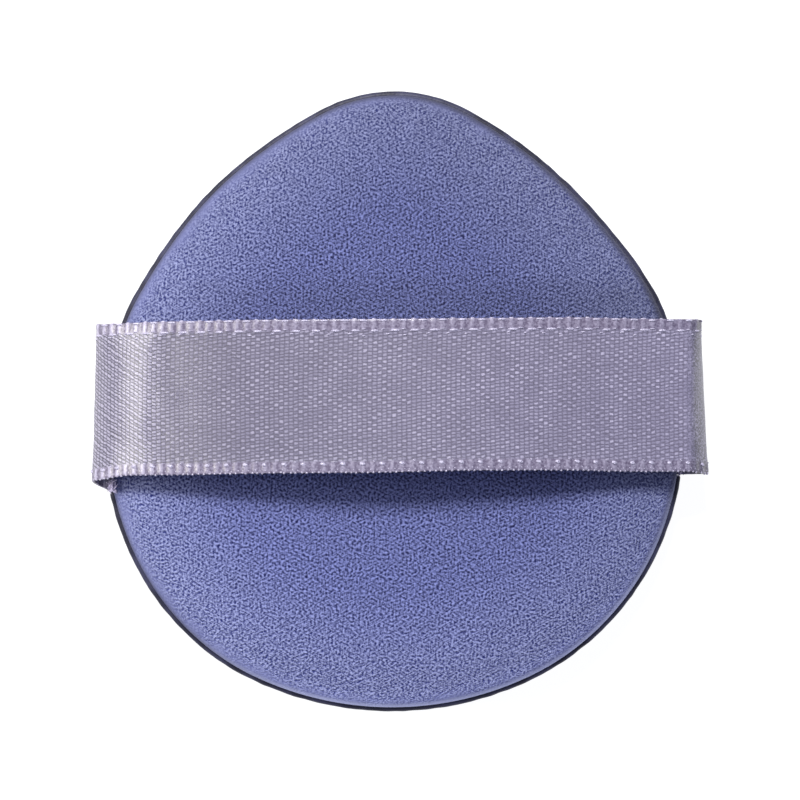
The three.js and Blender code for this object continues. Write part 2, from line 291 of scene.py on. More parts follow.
@dataclass(frozen=True)
class FoamFinish:
    """Microporous foam skin: fine worm-like pores that are pressed shut, and paler, towards the rim.

    A span says where an easing starts and ends. The depths are in millimetres inside the rim, and the
    places in millimetres from the pad's middle. A slant is how far a border moves for each millimetre to
    the right. A share is how strongly an effect shows, out of 1, and the edge's loss is what the lower side
    takes from the painted shade at the edge. roughness is that in the pores, and what the walls add. The
    paler foam towards the rim is a painted sheen. The pores' deep colour is partly their own and partly
    painted shade. Painted shade also lies on the foam just above the ribbon and on the skin towards the tip
    and the right, and painted light on the rim's lower side and the skin towards the base and the left.
    """

    # The pits are partly the pores' own deep colour and partly painted shade in the pores.
    pit: Colour = paint(4, 8, 64)
    # The second pit colour and pale make the pits and walls paler near the rim: a painted sheen.
    rim_sheen_pit: Colour = paint(22, 32, 97)
    deep: Colour = paint(121, 128, 184)
    pale: Colour = paint(144, 149, 188)
    pressed: Colour = paint(104, 108, 150)
    # edge is painted shade where the skin turns down at the rim.
    edge: Colour = paint(52, 53, 82)
    # The lip colour is painted light on the rim's lower side.
    lip_light: Colour = paint(165, 169, 203)
    rim_sheen_depths: Span = (14.0, 0.5)
    open_depths: Span = (0.2, 1.9)
    open_slant: float = 0.012
    least_open: float = 0.15
    shut_height: float = 0.62
    # Painted shade at the rim: where it spans, how it widens to the right, its strength and what the lower
    # side takes from it.
    edge_shade_depths: Span = (1.1, 0.45)
    edge_shade_slant: float = 0.006
    edge_shade_share: float = 0.85
    edge_shade_loss: float = 0.4
    # Painted light on the rim's lower side: the lip colour's depths and share, the lit brightening, and the
    # side that lower_places and lower_slant pick.
    lip_light_depths: Span = (0.95, 0.55)
    lip_light_share: float = 0.85
    lit_depths: Span = (2.6, 0.8)
    lit_share: float = 0.35
    lower_places: Span = (12.0, 30.0)
    lower_slant: float = 0.35
    # Painted shade on the foam just above the ribbon.
    ribbon_shade_middle: float = 9.5
    ribbon_shade_spread: Span = (4.5, 0.5)
    ribbon_shade_places: Span = (-32.0, -4.0)
    ribbon_shade_share: float = 0.17
    pore: float = 0.19
    pore_gap: float = 0.25
    pore_levels: Span = (0.08, 0.91)
    pore_depth: float = 0.09
    speck: float = 0.1
    speck_share: float = 0.5
    cloud: float = 1.2
    cloud_share: float = 0.16
    fringe: float = 2.2
    fringe_reach: float = 1.6
    patch: float = 14.0
    patch_share: float = 0.1
    brightness: float = 0.87
    # fall and drift: painted shade towards the tip and the right, painted light towards the base and the
    # left.
    fall: float = 0.0076
    drift: float = 0.0046
    roughness: Span = (0.86, 0.1)

    def pores(self, bench: Bench, place: Shade) -> Shade:
        """Pores and the walls between them, made of one grain less its neighbours on three sides.

        Args:
            bench: The material's bench.
            place: The place on the object, in millimetres.

        Returns:
            0 in the pores and 1 on the walls.
        """
        fine = bench.grain(place, self.pore) + 0.5
        for turn in range(3):
            angle = turn * 2 * math.pi / 3
            step = (math.cos(angle) * self.pore_gap, math.sin(angle) * self.pore_gap, 0.0)
            beside = bench.node("ShaderNodeVectorMath", {"operation": "ADD"}, {0: place, 1: step})
            fine = fine - bench.grain(beside, self.pore) / 3
        fine = fine + (bench.grain(place, self.speck) - 0.5) * self.speck_share
        return fine.ease(*self.pore_levels)

    def make(self) -> Material:
        """Build the material.

        Returns:
            The finished material.
        """
        bench = Bench("foam_skin")
        place = bench.place_mm()
        x, y = bench.split(place)
        depth = bench.attribute("rim_depth")
        pores = self.pores(bench, place)
        fringe = (bench.grain(place, self.fringe, 1.0) - 0.5) * self.fringe_reach
        opened = (depth + x * self.open_slant + fringe).ease(*self.open_depths)
        open_share = opened * (1 - self.least_open) + self.least_open
        height = pores * open_share + (1 - open_share) * self.shut_height
        # A painted sheen that makes the foam paler towards the rim.
        near_rim = depth.ease(*self.rim_sheen_depths)
        # The rim's lower side, which gets painted light and less painted shade at the edge.
        lower = (x * self.lower_slant - y).ease(*self.lower_places)
        # Painted shade where the skin turns down at the rim, wider towards the right.
        dark = (depth - x * self.edge_shade_slant).ease(*self.edge_shade_depths)
        dark = dark * (self.edge_shade_share - lower * self.edge_shade_loss)
        hollow = bench.mix(near_rim, self.pit, self.rim_sheen_pit)
        foam = bench.mix(pores, hollow, bench.mix(near_rim, self.deep, self.pale))
        foam = bench.mix(dark, bench.mix(open_share, self.pressed, foam), self.edge)
        foam = bench.mix(lower * depth.ease(*self.lip_light_depths) * self.lip_light_share, foam, self.lip_light)
        # Painted shade on the foam just above the ribbon.
        ribbon_shade = abs(y - self.ribbon_shade_middle).ease(*self.ribbon_shade_spread) * x.ease(*self.ribbon_shade_places)
        patches = bench.grain(place, self.patch, 1.0) * self.patch_share
        mottle = patches + bench.grain(place, self.cloud) * self.cloud_share
        # Random mottle, plus painted shade to the tip and right and painted light to the base and left.
        shade = self.brightness + mottle - y * self.fall - x * self.drift - ribbon_shade * self.ribbon_shade_share
        # Painted light on the rim's lower side.
        lit = lower * depth.ease(*self.lit_depths) * self.lit_share + 1
        return bench.finish({
            "Base Color": bench.scale(foam, shade * lit),
            "Roughness": self.roughness[0] + pores * self.roughness[1],
            "Normal": bench.bump(height, self.pore_depth),
            "Specular IOR Level": 0.3,
            "Sheen Weight": 0.08,
            "Sheen Roughness": 0.6,
        })


@dataclass(frozen=True)
class GrainedFinish:
    """Two tones, gloss and relief that follow one fine grain.

    size and detail are those of the grain, and change is the span of it that takes the tone from low to
    high. roughness is that at grain 0, and what grain 1 adds. With blotch, larger patches of that size
    carry the tone instead.
    """

    name: str
    low: Colour
    high: Colour
    size: float
    detail: float
    change: Span
    roughness: Span
    depth: float
    specular: float = 0.5
    blotch: float = 0.0

    def make(self) -> Material:
        """Build the material.

        Returns:
            The finished material.
        """
        bench = Bench(self.name)
        place = bench.place_mm()
        fine = bench.grain(place, self.size, self.detail)
        tone = bench.grain(place, self.blotch, 1.0) if self.blotch else fine
        return bench.finish({
            "Base Color": bench.mix(tone.ease(*self.change), self.low, self.high),
            "Roughness": self.roughness[0] + fine * self.roughness[1],
            "Normal": bench.bump(fine, self.depth),
            "Specular IOR Level": self.specular,
        })


# The bead's navy tones are partly the fused foam's own colour and partly painted shade along the outline,
# deepened against the floor's glow.
FUSED_FOAM = GrainedFinish(
    "fused_rim", paint(26, 25, 46), paint(52, 52, 78), 0.22, 2.0, (0.35, 0.7), (0.42, 0.25), 0.03, 0.4, 2.4,
)
GLUE_FILM = GrainedFinish(
    "hot_melt_film", paint(214, 208, 192, light=1.0), paint(236, 232, 222, light=1.0), 0.8, 2.0,
    (0.4, 0.65), (0.3, 0.2), 0.04,
)
BRIGHT_THREAD = GrainedFinish(
    "selvedge_thread", paint(140, 133, 158), paint(214, 208, 228), 0.09, 1.0, (0.35, 0.65), (0.34, 0.15),
    0.02, 0.6,
)
# The loose threads are a lighter copy of the selvedge thread: painted light on tufts that lie in the ribbon's
# shadow.
LOOSE_THREAD = replace(
    BRIGHT_THREAD, name="frayed_thread", low=paint(170, 160, 190), high=paint(228, 218, 242),
)


@dataclass(frozen=True)
class SpongeFinish:
    """Open-cell sponge between the skins."""

    cell: Colour = paint(120, 124, 160, light=1.0)
    strut: Colour = paint(196, 198, 222, light=1.0)
    cells_per_mm: float = 1.6
    strut_span: Span = (0.22, 0.02)
    roughness: Span = (0.9, 0.06)
    depth: float = 0.15

    def make(self) -> Material:
        """Build the material.

        Returns:
            The finished material.
        """
        bench = Bench("core_sponge")
        wall = bench.node(
            "ShaderNodeTexVoronoi", {"feature": "DISTANCE_TO_EDGE"},
            {"Vector": bench.place_mm(), "Scale": self.cells_per_mm}, "Distance",
        ).ease(*self.strut_span)
        return bench.finish({
            "Base Color": bench.mix(wall, self.cell, self.strut),
            "Roughness": self.roughness[0] + wall * self.roughness[1],
            "Normal": bench.bump(wall, self.depth),
        })


@dataclass(frozen=True)
class SatinFinish:
    """Five-end satin weave, read from the ribbon's own length and width in millimetres.

    The places say where an easing starts and ends: along the ribbon for the crease and the tilted floats,
    and from the pad's middle for the floats that fade near the right rim and for the painted shade on the
    cloth turned over the right fold. The reaches do so for a float, in threads and in picks from its middle,
    and the levels for a tone or a noise. A share is how strongly a thing shows, and a loss is what the fade
    near the rim or speckle takes from it. main and weak are the brightness of the two kinds of float, and
    how much chance adds to the one and takes from the other. bank_heights is the relief of the woven edge:
    its base, and what ribs, mottle and ridges add. In the crease the floats get a painted highlight and the
    grooves painted shade, and painted light brightens the cloth towards the right end.
    """

    groove: Colour = paint(96, 90, 107)
    # The creased groove colour is painted shade in the crease's grooves.
    creased_groove_shade: Colour = paint(58, 56, 65)
    face: Colour = paint(132, 126, 149)
    crown: Colour = paint(190, 183, 205)
    bank: Colour = paint(98, 88, 111)
    # fold is painted shade on the cloth turned down over the right fold.
    fold: Colour = paint(46, 45, 50)
    crease_places: Span = (-22.5, -26.5)
    tilt_places: Span = (-24.0, -27.0)
    near_rim_places: Span = (28.2, 28.9)
    turned_places: Span = (28.9, 29.6)
    turned_share: float = 0.7
    turned_loss: float = 0.6
    pick: float = 0.485
    thread: float = 0.1353
    ends: int = 5
    shift: int = 2
    rise: float = 0.25
    tilt: float = 2.0
    wander: float = 2.6
    wander_size: float = 0.8
    main: Span = (0.55, 0.45)
    main_reach: Span = (1.3, 0.3)
    weak: Span = (0.7, 0.5)
    weak_reach: Span = (1.2, 0.2)
    pick_reach: Span = (0.58, 0.2)
    speckle: float = 0.17
    speckle_levels: Span = (0.4, 0.6)
    speckle_share: float = 0.35
    near_rim_loss: float = 0.55
    fibre: float = 0.3
    fibre_stretch: float = 3.5
    fibre_share: float = 0.8
    haze: float = 2.6
    haze_levels: Span = (0.3, 0.7)
    haze_share: float = 0.25
    float_share: float = 0.72
    float_fall: float = 0.004
    # The next two are a painted highlight on the floats in the crease.
    crease_highlight_share: float = 0.45
    crease_highlight: float = 0.18
    face_levels: Span = (-0.12, 0.3)
    crown_levels: Span = (0.2, 1.0)
    rib_levels: Span = (0.35, 1.0)
    rib_share: float = 0.24
    mottle: float = 0.24
    mottle_levels: Span = (0.35, 0.65)
    mottle_share: float = 0.3
    width: float = 15.1
    selvedge: float = 1.1
    blur: float = 0.12
    weave_depth: float = 0.01
    ridge_height: float = 0.3
    bank_heights: tuple[float, float, float, float] = (0.2, 0.2, 0.4, 0.2)
    brightness: float = 0.848
    # brighten is painted light that grows towards the right end.
    brighten: float = 0.0076
    roughness: Span = (0.32, 0.06)

    def floats(self, bench: Bench, row: Shade, number: Shade, run: Shade, rise: Shade) -> Shade:
        """The floats of one pick, 1 on the brightest crowns.

        Args:
            bench: The material's bench.
            row: Place across the ribbon, in threads.
            number: Number of the pick.
            run: Place along the ribbon from the pick's middle, in picks.
            rise: How many threads a float climbs over one pick.

        Returns:
            The floats' brightness and height, from 0 to 1.
        """
        place = row + number * self.shift - run * rise
        cell = bench.pair(number, (place / self.ends).floor())
        chance = bench.node("ShaderNodeTexWhiteNoise", {"noise_dimensions": "2D"}, {"Vector": cell})
        middle = self.ends / 2
        main = abs(place % self.ends - middle).ease(*self.main_reach)
        main = main * (self.main[0] + chance * self.main[1])
        weak = abs((place + middle) % self.ends - middle).ease(*self.weak_reach)
        weak = weak * (self.weak[0] - chance * self.weak[1])
        return main.highest(weak) * abs(run).ease(*self.pick_reach)

    def weave(self, bench: Bench, place: Shade, along: Shade, across: Shade) -> Shade:
        """The floats of the whole ribbon.

        Args:
            bench: The material's bench.
            place: The place on the object, in millimetres.
            along: Place along the ribbon.
            across: Place across the ribbon.

        Returns:
            Their brightness and height, from 0 to 1.
        """
        column = along / self.pick
        number = column.floor()
        run = column - number - 0.5
        wander = (bench.grain(place, self.wander_size, 1.5) - 0.5) * self.wander
        row = across / self.thread + wander
        rise = self.rise - along.ease(*self.tilt_places) * self.tilt
        return self.floats(bench, row, number, run, rise).highest(
            self.floats(bench, row, number + run.sign(), run - run.sign(), rise),
        )

    def make(self) -> Material:
        """Build the material.

        Returns:
            The finished material.
        """
        bench = Bench("satin_ribbon")
        place = bench.place_mm()
        reach, _ = bench.split(place)
        along, across = bench.split(bench.node("ShaderNodeUVMap", {"uv_map": "weave"}))
        # The crease at the left bend gets a painted highlight on its floats and painted shade in its grooves.
        creased = along.ease(*self.crease_places)
        near_rim = reach.ease(*self.near_rim_places)
        speckle = bench.grain(place, self.speckle, 1.0).ease(*self.speckle_levels)
        raised = self.weave(bench, place, along, across) * (1 - near_rim * self.near_rim_loss)
        raised = raised + speckle * near_rim * self.speckle_share
        ridge = across.wave(self.thread)
        fibre = bench.grain(bench.pair(along, across * self.fibre_stretch), self.fibre, 2.0)
        haze = bench.grain(place, self.haze, 1.0).ease(*self.haze_levels)
        shine = self.float_share - along * self.float_fall + creased * self.crease_highlight_share
        shine = shine + haze * self.haze_share
        level = raised * shine + (fibre - 0.5) * self.fibre_share
        groove = bench.mix(creased, self.groove, self.creased_groove_shade)
        tone = bench.mix(level.ease(*self.face_levels), groove, self.face)
        tone = bench.mix(level.ease(*self.crown_levels), tone, self.crown)
        # Painted light that grows towards the right end, with a painted highlight in the crease.
        glow = self.brightness + along * self.brighten + creased * self.crease_highlight
        tone = bench.scale(tone, glow)
        edge = self.width / 2 - self.selvedge
        body = abs(across - self.width / 2).ease(edge + self.blur, edge - self.blur)
        rib = along.wave(2 * self.pick).ease(*self.rib_levels)
        mottle = bench.grain(place, self.mottle, 1.0).ease(*self.mottle_levels)
        # The bank's ribs get the crease's painted highlight too.
        crowns = rib * (self.rib_share + creased * self.crease_highlight_share) + mottle * self.mottle_share
        bank = bench.mix(crowns, self.bank, self.crown)
        height = (raised * (1 - self.ridge_height) + ridge * self.ridge_height) * (creased + 1)
        base, by_rib, by_mottle, by_ridge = self.bank_heights
        bank_height = base + rib * by_rib + mottle * by_mottle + ridge * by_ridge
        # Painted shade on the cloth turned down over the right fold, broken by speckle.
        turned = reach.ease(*self.turned_places) * (1 - speckle * self.turned_loss) * self.turned_share
        return bench.finish({
            "Base Color": bench.mix(turned, bench.mix(body, bank, tone), self.fold),
            "Roughness": self.roughness[0] - raised * self.roughness[1],
            "Normal": bench.bump(height * body + bank_height * (1 - body), self.weave_depth),
            "Specular IOR Level": 1.0,
            "Sheen Weight": 0.1,
            "Sheen Roughness": 0.4,
        })


@dataclass(frozen=True)
class FloorFinish:
    """Plain pale table that glows slightly, as a lit white sweep does."""

    face: Colour = (0.26, 0.26, 0.26, 1.0)
    glow: float = 0.93

    def make(self) -> Material:
        """Build the material.

        Returns:
            The finished material.
        """
        bench = Bench("pale_floor")
        return bench.finish({
            "Base Color": self.face,
            "Roughness": 0.9,
            "Specular IOR Level": 0.0,
            "Emission Color": (1.0, 1.0, 1.0, 1.0),
            "Emission Strength": self.glow,
        })


# Mesh tools


def select_only(*pieces: Object) -> None:
    """Select these pieces and no others, and make the first one active.

    Args:
        pieces: The pieces, or none to deselect all.
    """
    for item in bpy.context.view_layer.objects:
        item.select_set(item in pieces)
    bpy.context.view_layer.objects.active = pieces[0] if pieces else None


def link(name: str, data: ID) -> Object:
    """A new object in the scene.

    Args:
        name: Its name.
        data: Its mesh, light or camera.

    Returns:
        The object.
    """
    item = bpy.data.objects.new(name, data)
    bpy.context.scene.collection.objects.link(item)
    return item


def new_piece(name: str, points: Array, faces: Sequence[Sequence[int]]) -> Object:
    """A smooth mesh piece from points in millimetres.

    Args:
        name: The piece's name.
        points: One row of x, y and z for each vertex.
        faces: Vertex numbers of each face, counter-clockwise seen from outside.

    Returns:
        The piece, linked to the scene.
    """
    mesh = bpy.data.meshes.new(name)
    mesh.from_pydata((points * MM).tolist(), [], [list(face) for face in faces])
    mesh.update()
    piece = link(name, mesh)
    select_only(piece)
    bpy.ops.object.shade_smooth()
    return piece


def primitive(name: str, add: Callable, **settings: object) -> Object:
    """Add a primitive.

    Args:
        name: The piece's name.
        add: The operator that adds it.
        settings: The operator's settings.

    Returns:
        The piece.
    """
    select_only()
    add(**settings)
    piece = bpy.context.object
    piece.name = piece.data.name = name
    return piece


@contextmanager
def editing() -> Iterator[None]:
    """Edit mode on the active piece, with all of it selected."""
    bpy.ops.object.mode_set(mode="EDIT")
    bpy.ops.mesh.select_all(action="SELECT")
    yield
    bpy.ops.object.mode_set(mode="OBJECT")


def read_points(piece: Object, what: str = "co") -> Array:
    """Read what every vertex of a piece has.

    Args:
        piece: The piece.
        what: co for places in metres, or normal.

    Returns:
        One row for each vertex.
    """
    flat = np.empty(len(piece.data.vertices) * 3, dtype=np.float32)
    piece.data.vertices.foreach_get(what, flat)
    return flat.reshape(-1, 3).astype(float)


def write_points(piece: Object, points: Array) -> None:
    """Put a piece's vertices at new places in metres."""
    piece.data.vertices.foreach_set("co", points.astype(np.float32).ravel())
    piece.data.update()


def ripple(points: Array, size: float, seed: float) -> Array:
    """Smooth noise from -1 to 1 at points in millimetres, its features size apart and moved by seed."""
    return np.array([noise.noise(Vector(row)) for row in (points / size + seed).tolist()])


def apply_modifier(piece: Object, kind: str, **settings: object) -> None:
    """Add a modifier and apply it.

    Args:
        piece: The piece.
        kind: The modifier's type.
        settings: Its settings.
    """
    select_only(piece)
    made = piece.modifiers.new(kind.lower(), kind)
    for key, value in settings.items():
        setattr(made, key, value)
    bpy.ops.object.modifier_apply(modifier=made.name)


def dress(piece: Object, finish: Material) -> None:
    """Give a piece its finish.

    Args:
        piece: The piece.
        finish: Its material.
    """
    piece.data.materials.clear()
    piece.data.materials.append(finish)
    log.info("%s: %d faces, %s", piece.name, len(piece.data.polygons), finish.name)


def stand_for(piece: Object, node: str, finish: Material) -> None:
    """Dress a piece of the pad and let it stand for its node.

    Args:
        piece: The finished piece.
        node: The node that it replaces.
        finish: Its material.
    """
    dress(piece, finish)
    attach(piece, Body.PAD.value)
    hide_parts(node)


def run_along(points: Array) -> Array:
    """Length of a line up to each of its points, which are its rows."""
    step = np.linalg.norm(np.diff(points, axis=0), axis=-1)
    return np.concatenate([np.zeros_like(step[:1]), np.cumsum(step, axis=0)])


def rows_at(stops: Array | float, run: Array, rows: Array) -> Array:
    """Rows in between the given ones, at stops along their run."""
    return np.stack([np.interp(stops, run, column) for column in rows.T], axis=-1)


# The pad's outline and section


@dataclass(frozen=True)
class DropOutline:
    """The rim of the pad, as tangent arcs from the tip down one side to the base.

    Each bulge is a place where the cut strays outwards: its direction and spread in degrees, counted from
    the right-hand side counter-clockwise, and its height.
    """

    length: float = 62.0
    width: float = 58.2
    middle_x: float = -0.425
    heading_shares: tuple[float, ...] = (0.145, 0.325, 0.4, 0.867, 1.0)
    radius_shares: tuple[float, ...] = (0.6, 1.63, 0.7, 0.92)
    samples: int = 6001
    bulges: tuple[Point, ...] = (
        (226.0, 32.0, 0.29), (24.0, 12.0, 0.26), (131.0, 14.0, 0.18), (330.0, 14.0, 0.1),
    )

    def side(self) -> tuple[Array, Array]:
        """The right side of the drop, from tip to base.

        Returns:
            Its points, close together, and their outward normals.
        """
        headings = np.linspace(0.0, math.pi, self.samples)
        points = np.zeros((self.samples, 2))
        x = y = start = 0.0
        for share, given in zip_longest(self.heading_shares, self.radius_shares):
            end = share * math.pi
            radius = x / math.sin(start) if given is None else given
            here = (headings >= start) & (headings <= end)
            points[here, 0] = x + radius * (np.sin(headings[here]) - math.sin(start))
            points[here, 1] = y - radius * (math.cos(start) - np.cos(headings[here]))
            x += radius * (math.sin(end) - math.sin(start))
            y -= radius * (math.cos(start) - math.cos(end))
            start = end
        widest = np.interp(math.pi / 2, headings, points[:, 0])
        stretch = np.array([self.width / 2 / widest, self.length / -y])
        normals = np.column_stack([np.sin(headings), np.cos(headings)]) / stretch
        normals /= np.linalg.norm(normals, axis=1, keepdims=True)
        points = points * stretch + [0.0, self.length / 2]
        points[:, 0] = np.maximum(points[:, 0], 0.0)
        return points, normals

    def rim(self, count: int) -> tuple[Array, Array]:
        """The whole rim, counter-clockwise from the tip, about the pad's middle.

        Args:
            count: Number of points.

        Returns:
            Evenly spaced points, and their outward normals.
        """
        points, normals = self.side()
        run = run_along(points)
        stops = np.linspace(0.0, run[-1], count // 2 + 1)
        sides = [rows_at(stops, run, rows) for rows in (points, normals)]
        rim, outward = [np.vstack([right * [-1.0, 1.0], right[-2:0:-1]]) for right in sides]
        direction = np.degrees(np.arctan2(rim[:, 1], rim[:, 0])) % 360
        for middle, spread, height in self.bulges:
            rim = rim + outward * (height * np.exp(-((direction - middle) / spread) ** 2))[:, None]
        return rim, outward

    def half_width(self, y: float) -> float:
        """Half the pad's width at a place along it, on the broad side of the tip."""
        points, _ = self.side()
        return float(np.interp(-y, -points[:, 1], points[:, 0]))


@dataclass(frozen=True)
class PadSection:
    """Heights and depths of the layers, from the rim inwards."""

    seam_height: float = 4.3
    shoulder_rise: float = 3.5
    crown_rise: float = 1.2
    skin: float = 1.2
    film: float = 0.2
    seam_width: float = 2.2
    lining_roll: float = 6.8
    core_clearance: float = 0.3
    weld_width: float = 0.45
    weld_half_height: float = 0.4
    back_turn_share: float = 0.66

    @property
    def edge_roll(self) -> float:
        """How far inside the rim the rolled edge ends."""
        return self.seam_width + self.lining_roll

    @property
    def shoulder_height(self) -> float:
        """Height of the back where the roll ends."""
        return self.seam_height + self.shoulder_rise

    @property
    def back_height(self) -> float:
        """Height of the back's crown."""
        return self.shoulder_height + self.crown_rise

    def crown(self, depth: float, share: float) -> float:
        """Height of the crown, depth under its face, at a share of the way out from the middle."""
        return self.back_height - depth - self.crown_rise * share * share

    def crown_track(self, depth: float, steps: int) -> Track:
        """Stations of the crown from its shoulder to just short of the middle."""
        return [(self.edge_roll, self.crown(depth, i / steps), i / steps) for i in range(steps - 1, 0, -1)]

    @staticmethod
    def roll(start: Span, end: Span, steps: int, turn_share: float = 1.0) -> Track:
        """Stations of a roll that is upright at its start.

        Args:
            start: Inset and height of the upright end.
            end: Inset and height of the far end.
            steps: Number of steps.
            turn_share: Share of a quarter turn that it rolls through. It is level there at 1.

        Returns:
            The stations, both ends among them.
        """
        last = turn_share * math.pi / 2
        (inset, z), (inset_end, z_end) = start, end
        return [
            (
                inset + (inset_end - inset) * (1 - math.cos(last * i / steps)) / (1 - math.cos(last)),
                z + (z_end - z) * math.sin(last * i / steps) / math.sin(last),
                1.0,
            )
            for i in range(steps + 1)
        ]


@dataclass
class PuffPart:
    """A sub-assembly that follows the pad's outline and section."""

    outline: DropOutline
    section: PadSection


@dataclass
class PadBody:
    """A closed body of rings round the pad, from the middle of its underside over to its top."""

    outline: DropOutline
    around: int
    track: Track
    low: float
    high: float
    pull_in: float = 26.0

    def build(self, name: str) -> Object:
        """Make the piece and keep each vertex's depth inside the rim on it.

        Args:
            name: The piece's name.

        Returns:
            The piece.
        """
        rim, normals = self.outline.rim(self.around)
        middle = np.array([[self.outline.middle_x, 0.0, self.low], [self.outline.middle_x, 0.0, self.high]])
        rings = []
        for inset, z, share in self.track:
            flat = (rim - normals * inset) * share + [self.outline.middle_x, 0.0]
            rings.append(np.column_stack([flat, np.full(self.around, z)]))
        points = np.vstack([middle[:1], *rings, middle[1:]])
        depth = [inset + (1 - share) * self.pull_in for inset, _, share in self.track]
        depths = np.concatenate([[self.pull_in], np.repeat(depth, self.around), [self.pull_in]])
        piece = new_piece(name, points, self.faces(len(rings)))
        layer = piece.data.attributes.new("rim_depth", "FLOAT", "POINT")
        layer.data.foreach_set("value", depths.astype(np.float32))
        return piece

    def faces(self, ring_count: int) -> list[tuple[int, ...]]:
        """Quads between the rings, and a fan at each middle.

        Args:
            ring_count: Number of rings.

        Returns:
            Vertex numbers of each face.
        """
        here = np.arange(self.around)
        after = (here + 1) % self.around
        faces = [(0, 1 + b, 1 + a) for a, b in zip(here, after)]
        for r in range(ring_count - 1):
            low = 1 + r * self.around
            high = low + self.around
            faces += np.column_stack([low + here, low + after, high + after, high + here]).tolist()
        top = 1 + (ring_count - 1) * self.around
        last = top + self.around
        return faces + [(last, top + a, top + b) for a, b in zip(here, after)]


@dataclass(frozen=True)
class FoamRelief:
    """Pores and soft lumps of a skin's open foam. The calm band is just inside the rim.

    With keep_floor it only sinks, so that the face that the puff rests on stays where it is.
    """

    seed: float
    lump_height: float
    keep_floor: bool = False
    lump_size: float = 3.4
    pore_height: float = 0.03
    pore_size: float = 0.5
    pore_seed: float = 7.3
    calm_band: Span = (0.9, 2.9)
    sink_share: float = 0.6

    def press(self, piece: Object) -> None:
        """Raise and sink a skin along its normals.

        Args:
            piece: The skin.
        """
        points = read_points(piece) / MM
        depth = np.empty(len(points), dtype=np.float32)
        piece.data.attributes["rim_depth"].data.foreach_get("value", depth)
        start, end = self.calm_band
        open_share = np.clip((depth - start) / (end - start), 0.0, 1.0)
        lumps = ripple(points, self.lump_size, self.seed) * self.lump_height
        lumps += ripple(points, self.pore_size, self.seed + self.pore_seed) * self.pore_height
        if self.keep_floor:
            lumps = np.minimum(lumps - (self.pore_height + self.lump_height) * self.sink_share, 0.0)
        move = read_points(piece, "normal") * (lumps * open_share)[:, None]
        write_points(piece, (points + move) * MM)


@dataclass
class PadSkins(PuffPart):
    """The two microporous foam skins, welded round the rim.

    tail_low and tail_high are where the left and the right tail lie at the seam, along the puff.
    """

    finish: Material
    around: int = 600
    crown_steps: int = 96
    floor_steps: int = 80
    roll_steps: int = 46
    lining_steps: int = 8
    lining_crown_steps: int = 6
    tail_low: Span = (-9.0, -7.5)
    tail_high: Span = (6.35, 7.85)
    tail_slope: float = 0.4
    tail_room: float = 0.3
    back_relief: FoamRelief = FoamRelief(3.1, 0.05)
    front_relief: FoamRelief = FoamRelief(11.7, 0.03, keep_floor=True)

    def build(self) -> None:
        """Make both skins."""
        self.back()
        self.front()

    def back(self) -> None:
        """The strap-side skin, crowned, with room for the ribbon's tails at the seam."""
        s = self.section
        seam = s.seam_height
        turn = s.back_turn_share
        shoulder = (s.edge_roll, s.shoulder_height)
        lining = (s.edge_roll, s.shoulder_height - s.skin)
        inside = s.roll((s.seam_width, seam), lining, self.lining_steps, turn)
        outside = s.roll((s.weld_width, seam + s.weld_half_height), shoulder, self.roll_steps, turn)
        ceiling = s.crown_track(s.skin, self.lining_crown_steps)
        track = [
            *reversed(ceiling), *reversed(inside), (s.weld_width, seam, 1.0), *outside,
            *s.crown_track(0.0, self.crown_steps),
        ]
        body = PadBody(self.outline, self.around, track, s.back_height - s.skin, s.back_height)
        piece = body.build("puff_back_skin")
        points = read_points(piece) / MM
        at_seam = np.isclose(points[:, 2], seam, rtol=0.0, atol=0.01)
        side = (points[:, 0] > 0).astype(int)
        from_low = points[:, 1] - np.array(self.tail_low)[side]
        from_high = np.array(self.tail_high)[side] - points[:, 1]
        lift = np.clip(from_low / self.tail_slope, 0, 1) * np.clip(from_high / self.tail_slope, 0, 1)
        points[:, 2] += np.where(at_seam, lift * self.tail_room, 0.0)
        write_points(piece, points * MM)
        self.close(piece, self.back_relief, "back_skin")

    def front(self) -> None:
        """The powder-side skin, a dish with a flat floor."""
        s = self.section
        seam = s.seam_height
        outside = s.roll((s.weld_width, seam - s.weld_half_height), (s.edge_roll, 0.0), self.roll_steps)
        inside = s.roll((s.seam_width, seam), (s.edge_roll, s.skin), self.lining_steps)
        floor = [(s.edge_roll, 0.0, i / self.floor_steps) for i in range(1, self.floor_steps)]
        track = [*floor, *reversed(outside), (s.weld_width, seam, 1.0), *inside]
        piece = PadBody(self.outline, self.around, track, 0.0, s.skin).build("puff_front_skin")
        self.close(piece, self.front_relief, "front_skin")

    def close(self, piece: Object, relief: FoamRelief, node: str) -> None:
        """Give a skin its relief and finish, and let it stand for its node.

        Args:
            piece: The skin.
            relief: Its relief.
            node: The node.
        """
        relief.press(piece)
        stand_for(piece, node, self.finish)


